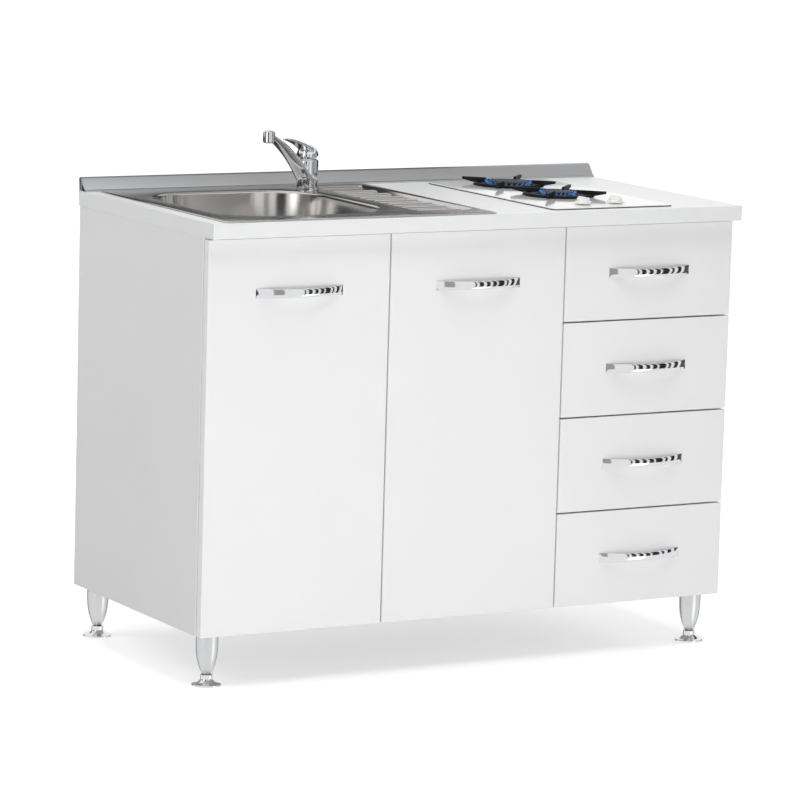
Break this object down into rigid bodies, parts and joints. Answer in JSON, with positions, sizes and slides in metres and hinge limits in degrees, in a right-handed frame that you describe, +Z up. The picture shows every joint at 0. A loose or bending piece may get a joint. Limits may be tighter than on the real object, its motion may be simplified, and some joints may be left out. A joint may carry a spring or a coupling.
{
  "type": "kitchenette unit",
  "caption": "White kitchenette cabinet on legs with doors under an inset sink and drainer with mixer tap, and drawers under a small gas hob.",
  "frame": {"origin": "on the floor under the middle of the worktop", "axes": "+X to the right along the worktop, +Y from the fronts to the wall, +Z up"},
  "size_m": [1.2, 0.6, 1.051],
  "materials": {
    "melamine": "satin",
    "lacquer": "satin",
    "hardboard": "matte",
    "aluminium": "brushed",
    "satin_silver": "satin",
    "chrome": "polished",
    "zinc": "satin",
    "steel": "brushed",
    "white_plastic": "gloss",
    "white_coat": "satin",
    "enamel_white": "gloss",
    "enamel_black": "gloss"
  },
  "bodies": {
    "cabinet": {"side_panel_left": "melamine", "side_panel_right": "melamine", "partition_panel": "melamine", "bottom_panel": "melamine", "back_boards": "hardboard", "top_rails": "melamine", "worktop": "lacquer", "upstand": "aluminium", "leg_front_left": "satin_silver", "leg_front_right": "satin_silver", "leg_rear_left": "satin_silver", "leg_rear_right": "satin_silver", "foot_front_left": "chrome", "foot_front_right": "chrome", "foot_rear_left": "chrome", "foot_rear_right": "chrome", "hinge_arms": "zinc", "drawer_rails_fixed": "white_coat", "sink": "steel", "waste_fitting": "steel", "waste_trap": "white_plastic", "tap_base": "chrome", "hob_plate": "enamel_white", "hob_tray": "zinc", "gas_rail": "zinc", "burner_dishes": "enamel_black", "burner_crowns": "satin_silver"},
    "door_left": {"door_left": "lacquer", "hinge_cups_left": "zinc", "handle_door_left": "chrome"},
    "door_right": {"door_right": "lacquer", "hinge_cups_right": "zinc", "handle_door_right": "chrome"},
    "drawer_1": {"drawer_front_1": "lacquer", "drawer_box_1": "melamine", "drawer_rails_1": "white_coat", "handle_drawer_1": "chrome"},
    "drawer_2": {"drawer_front_2": "lacquer", "drawer_box_2": "melamine", "drawer_rails_2": "white_coat", "handle_drawer_2": "chrome"},
    "drawer_3": {"drawer_front_3": "lacquer", "drawer_box_3": "melamine", "drawer_rails_3": "white_coat", "handle_drawer_3": "chrome"},
    "drawer_4": {"drawer_front_4": "lacquer", "drawer_box_4": "melamine", "drawer_rails_4": "white_coat", "handle_drawer_4": "chrome"},
    "spout": {"tap_spout": "chrome", "tap_aerator": "zinc"},
    "cartridge": {"tap_cartridge": "chrome"},
    "lever": {"tap_lever": "chrome"},
    "strainer_basket": {"strainer_basket": "steel"},
    "burner_cap_rear": {"burner_cap_rear": "enamel_black"},
    "burner_cap_front": {"burner_cap_front": "enamel_black"},
    "pan_support_rear": {"pan_support_rear": "enamel_black"},
    "pan_support_front": {"pan_support_front": "enamel_black"},
    "knob_rear": {"knob_rear": "white_plastic"},
    "knob_front": {"knob_front": "white_plastic"}
  },
  "joints": [
    {"name": "door_left_hinge", "type": "hinge", "parent": "cabinet", "child": "door_left", "pos_m": [-0.59, -0.2775, 0.49], "axis": [0, 0, -1], "range_deg": [0, 90]},
    {"name": "door_right_hinge", "type": "hinge", "parent": "cabinet", "child": "door_right", "pos_m": [0.1925, -0.2775, 0.49], "axis": [0, 0, 1], "range_deg": [0, 90]},
    {"name": "drawer_1_slide", "type": "slide", "parent": "cabinet", "child": "drawer_1", "axis": [0, -1, 0], "range_m": [0, 0.33]},
    {"name": "drawer_2_slide", "type": "slide", "parent": "cabinet", "child": "drawer_2", "axis": [0, -1, 0], "range_m": [0, 0.33]},
    {"name": "drawer_3_slide", "type": "slide", "parent": "cabinet", "child": "drawer_3", "axis": [0, -1, 0], "range_m": [0, 0.33]},
    {"name": "drawer_4_slide", "type": "slide", "parent": "cabinet", "child": "drawer_4", "axis": [0, -1, 0], "range_m": [0, 0.33]},
    {"name": "spout_swivel", "type": "hinge", "parent": "cabinet", "child": "spout", "pos_m": [-0.1515, 0.168, 0.94], "axis": [0, 0, 1], "range_deg": [-90, 90]},
    {"name": "mixer_turn", "type": "hinge", "parent": "spout", "child": "cartridge", "pos_m": [-0.1515, 0.168, 0.983], "axis": [0, 0, 1], "range_deg": [-45, 45]},
    {"name": "lever_lift", "type": "hinge", "parent": "cartridge", "child": "lever", "pos_m": [-0.1515, 0.168, 0.983], "axis": [-0.6428, 0.766, 0], "range_deg": [0, 25]},
    {"name": "strainer_lift", "type": "slide", "parent": "cabinet", "child": "strainer_basket", "axis": [0, 0, 1], "range_m": [0, 0.05]},
    {"name": "cap_rear_lift", "type": "slide", "parent": "cabinet", "child": "burner_cap_rear", "axis": [0, 0, 1], "range_m": [0, 0.04]},
    {"name": "cap_front_lift", "type": "slide", "parent": "cabinet", "child": "burner_cap_front", "axis": [0, 0, 1], "range_m": [0, 0.04]},
    {"name": "support_rear_lift", "type": "slide", "parent": "cabinet", "child": "pan_support_rear", "axis": [0, 0, 1], "range_m": [0, 0.06]},
    {"name": "support_front_lift", "type": "slide", "parent": "cabinet", "child": "pan_support_front", "axis": [0, 0, 1], "range_m": [0, 0.06]},
    {"name": "knob_rear_turn", "type": "hinge", "parent": "cabinet", "child": "knob_rear", "pos_m": [0.274, -0.2139, 0.9215], "axis": [0, 0, 1], "range_deg": [0, 210]},
    {"name": "knob_front_turn", "type": "hinge", "parent": "cabinet", "child": "knob_front", "pos_m": [0.35, -0.2139, 0.9215], "axis": [0, 0, 1], "range_deg": [0, 210]}
  ]
}
